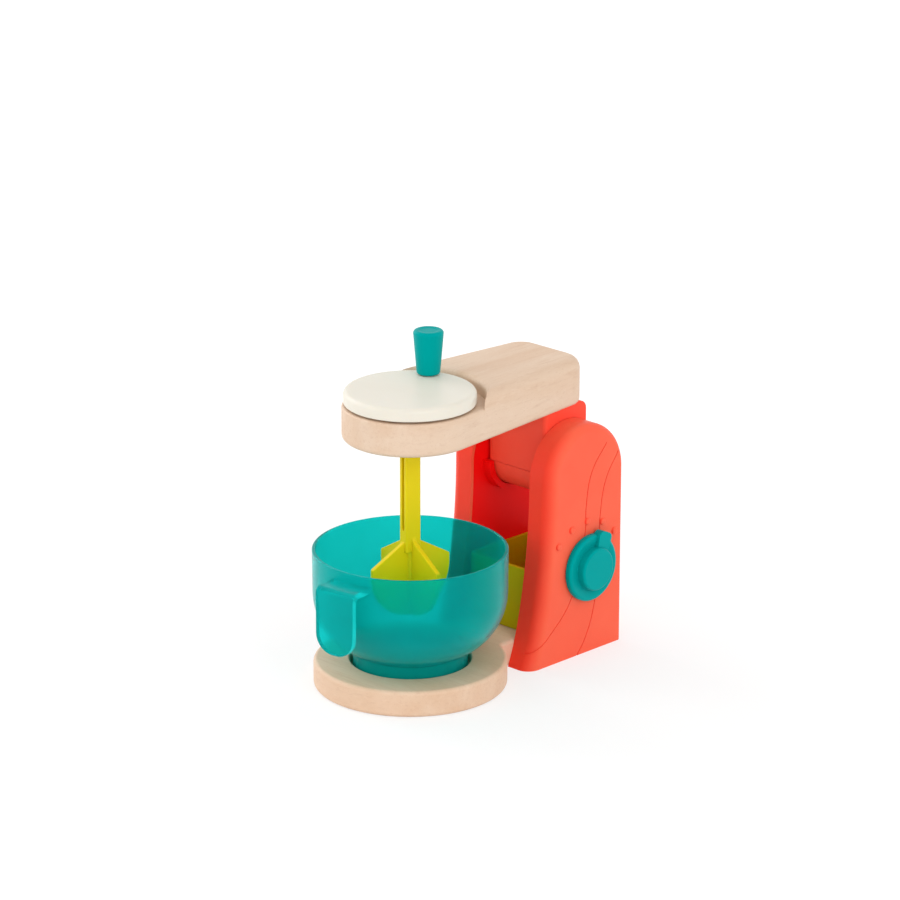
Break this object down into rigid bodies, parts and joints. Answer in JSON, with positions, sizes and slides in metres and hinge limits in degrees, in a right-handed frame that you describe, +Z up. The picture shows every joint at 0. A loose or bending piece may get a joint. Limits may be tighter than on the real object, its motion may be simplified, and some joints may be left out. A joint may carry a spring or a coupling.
{
  "type": "toy stand mixer",
  "caption": "Wooden toy stand mixer: the head tilts between moulded towers, a hand crank turns the beater, a dial clicks round and a bowl lifts out.",
  "frame": {"origin": "on the bowl's axis, at the underside of the wooden base", "axes": "+Z up, -Y to the front where the beater and the bowl's handle are, +X to the side with the dial"},
  "size_m": [0.1168, 0.2169, 0.2114],
  "materials": {
    "pale_wood": "clear matt lacquer over fine pinkish grain",
    "coral_plastic": "fine satin moulding",
    "lime_plastic": "fine satin moulding",
    "teal_plastic": "fine satin moulding",
    "clear_teal_plastic": "smooth translucent moulding",
    "ivory_plastic": "fine satin moulding",
    "white_plastic": "plain moulding",
    "axle_steel": "turned",
    "screw_steel": "zinc plated",
    "spring_steel": "blued"
  },
  "bodies": {
    "base": {"wood_base": "pale_wood", "storage_box": "lime_plastic", "right_tower_shell": "coral_plastic", "left_tower_shell": "coral_plastic", "right_tower_cover": "coral_plastic", "left_tower_cover": "coral_plastic", "tower_screws": "screw_steel", "neck_screws": "screw_steel", "box_screws": "screw_steel", "click_spring": "spring_steel"},
    "head": {"head_arm": "pale_wood", "tilt_block": "coral_plastic", "hinge_cap": "coral_plastic", "hinge_axle": "axle_steel", "stop_pin": "axle_steel", "axle_clips": "spring_steel", "hinge_washers": "white_plastic", "head_screws": "screw_steel", "cap_screws": "screw_steel", "upper_bush": "white_plastic", "lower_bush": "white_plastic"},
    "crank": {"crank_disc": "ivory_plastic", "crank_spindle": "axle_steel", "spindle_screws": "screw_steel", "thrust_washer": "white_plastic", "knob_pin": "axle_steel", "beater": "lime_plastic", "beater_screw": "screw_steel"},
    "knob": {"crank_knob": "teal_plastic"},
    "speed_dial": {"dial": "teal_plastic", "dial_washer": "white_plastic", "click_wheel": "white_plastic", "dial_screw": "screw_steel"},
    "loose_bowl": {"bowl": "clear_teal_plastic"}
  },
  "joints": [
    {"name": "head_tilt", "type": "hinge", "parent": "base", "child": "head", "pos_m": [0, 0.109, 0.1135], "axis": [-1, 0, 0], "range_deg": [0, 68]},
    {"name": "crank_spin", "type": "hinge", "parent": "head", "child": "crank", "pos_m": [0, 0, 0.18], "axis": [0, 0, 1], "continuous": true},
    {"name": "knob_spin", "type": "hinge", "parent": "crank", "child": "knob", "pos_m": [-0.01289, 0.02841, 0.19], "axis": [0, 0, 1], "continuous": true},
    {"name": "dial_turn", "type": "hinge", "parent": "base", "child": "speed_dial", "pos_m": [0.045, 0.111, 0.0553], "axis": [1, 0, 0], "range_deg": [-26, 78]},
    {"name": "bowl_lift", "type": "slide", "parent": "base", "child": "loose_bowl", "axis": [0, 0, 1], "range_m": [0, 0.008]}
  ]
}
